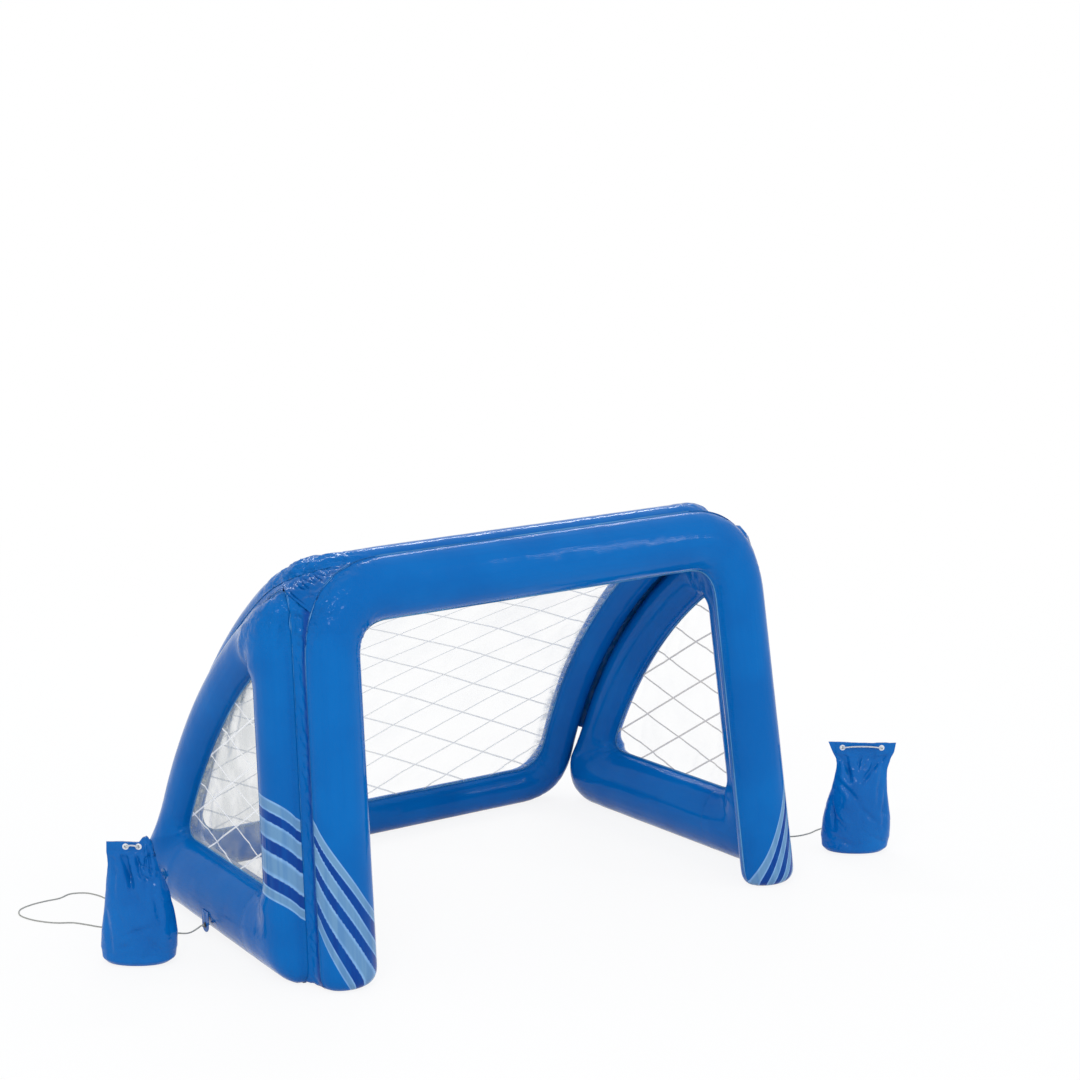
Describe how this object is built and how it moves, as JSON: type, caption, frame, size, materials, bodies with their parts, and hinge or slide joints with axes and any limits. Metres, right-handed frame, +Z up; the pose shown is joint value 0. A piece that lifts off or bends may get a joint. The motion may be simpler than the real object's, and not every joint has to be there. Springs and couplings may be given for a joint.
{
  "type": "inflatable goal",
  "caption": "Inflatable play goal: a leaning front arch, two curved side frames and a back frame with printed film nets, valves and tethered weight bags.",
  "frame": {"origin": "on the floor, under the middle of the box round everything except the two free tethers", "axes": "+X along the mouth to the goal's right as seen from the front, +Y from the mouth to the back bar, +Z up"},
  "size_m": [1.8162, 0.8864, 0.8291],
  "materials": {
    "blue_vinyl": "glossy welded vinyl film, slightly creased along its seams",
    "printed_film": "clear film with printed white diamond lines",
    "valve_vinyl": "moulded soft vinyl",
    "cord": "braided cord",
    "white_eyelet": "satin white plastic",
    "dark_ring": "satin dark plastic"
  },
  "bodies": {
    "goal": {"front_arch": "blue_vinyl", "back_frame": "blue_vinyl", "left_side_frame": "blue_vinyl", "right_side_frame": "blue_vinyl", "back_net": "printed_film", "left_net": "printed_film", "right_net": "printed_film", "left_front_weld": "blue_vinyl", "right_front_weld": "blue_vinyl", "left_rear_weld": "blue_vinyl", "right_rear_weld": "blue_vinyl", "top_weld": "blue_vinyl", "arch_valve_base": "valve_vinyl", "back_valve_base": "valve_vinyl", "left_valve_base": "valve_vinyl", "right_valve_base": "valve_vinyl", "left_tether_tab": "blue_vinyl", "left_tether_ring": "dark_ring", "left_tether_knot": "cord", "right_tether_tab": "blue_vinyl", "right_tether_ring": "dark_ring", "right_tether_knot": "cord"},
    "arch_valve_stem": {"arch_valve_stem": "valve_vinyl"},
    "arch_valve_stopper": {"arch_valve_stopper": "valve_vinyl"},
    "back_valve_stem": {"back_valve_stem": "valve_vinyl"},
    "back_valve_stopper": {"back_valve_stopper": "valve_vinyl"},
    "left_valve_stem": {"left_valve_stem": "valve_vinyl"},
    "left_valve_stopper": {"left_valve_stopper": "valve_vinyl"},
    "right_valve_stem": {"right_valve_stem": "valve_vinyl"},
    "right_valve_stopper": {"right_valve_stopper": "valve_vinyl"},
    "left_weight_bag": {"left_bag": "blue_vinyl", "left_bag_eyelet_1": "white_eyelet", "left_bag_eyelet_2": "white_eyelet", "left_drawstring": "cord", "left_bag_knot": "cord", "left_tether": "cord"},
    "right_weight_bag": {"right_bag": "blue_vinyl", "right_bag_eyelet_1": "white_eyelet", "right_bag_eyelet_2": "white_eyelet", "right_drawstring": "cord", "right_bag_knot": "cord", "right_tether": "cord"}
  },
  "joints": [
    {"name": "arch_valve_push", "type": "slide", "parent": "goal", "child": "arch_valve_stem", "axis": [0, 0.6006, -0.7996], "range_m": [-0.008, 0]},
    {"name": "arch_stopper_flip", "type": "hinge", "parent": "arch_valve_stem", "child": "arch_valve_stopper", "pos_m": [0.25412, -0.26065, 0.70485], "axis": [0, -0.7996, -0.6005], "range_deg": [0, 140]},
    {"name": "back_valve_push", "type": "slide", "parent": "goal", "child": "back_valve_stem", "axis": [0, 0.9659, 0.2589], "range_m": [-0.008, 0]},
    {"name": "back_stopper_flip", "type": "hinge", "parent": "back_valve_stem", "child": "back_valve_stopper", "pos_m": [0.27327, 0.43913, 0.05258], "axis": [0, 0.2589, -0.9659], "range_deg": [0, 140]},
    {"name": "left_valve_push", "type": "slide", "parent": "goal", "child": "left_valve_stem", "axis": [-0.9978, 0.0575, 0.034], "range_m": [-0.008, 0]},
    {"name": "left_stopper_flip", "type": "hinge", "parent": "left_valve_stem", "child": "left_valve_stopper", "pos_m": [-0.64838, 0.23182, 0.07139], "axis": [-0.034, 0, -0.9994], "range_deg": [0, 140]},
    {"name": "right_valve_push", "type": "slide", "parent": "goal", "child": "right_valve_stem", "axis": [0.9978, 0.0575, 0.034], "range_m": [-0.008, 0]},
    {"name": "right_stopper_flip", "type": "hinge", "parent": "right_valve_stem", "child": "right_valve_stopper", "pos_m": [0.62835, 0.23182, 0.07139], "axis": [-0.034, 0, 0.9994], "range_deg": [0, 140]},
    {"name": "left_bag_swing", "type": "hinge", "parent": "goal", "child": "left_weight_bag", "pos_m": [-0.65728, 0.00126, 0.027], "axis": [0, 0, 1], "range_deg": [-5, 35]},
    {"name": "right_bag_swing", "type": "hinge", "parent": "goal", "child": "right_weight_bag", "pos_m": [0.63725, 0.00126, 0.027], "axis": [0, 0, 1], "range_deg": [-5, 35]}
  ]
}
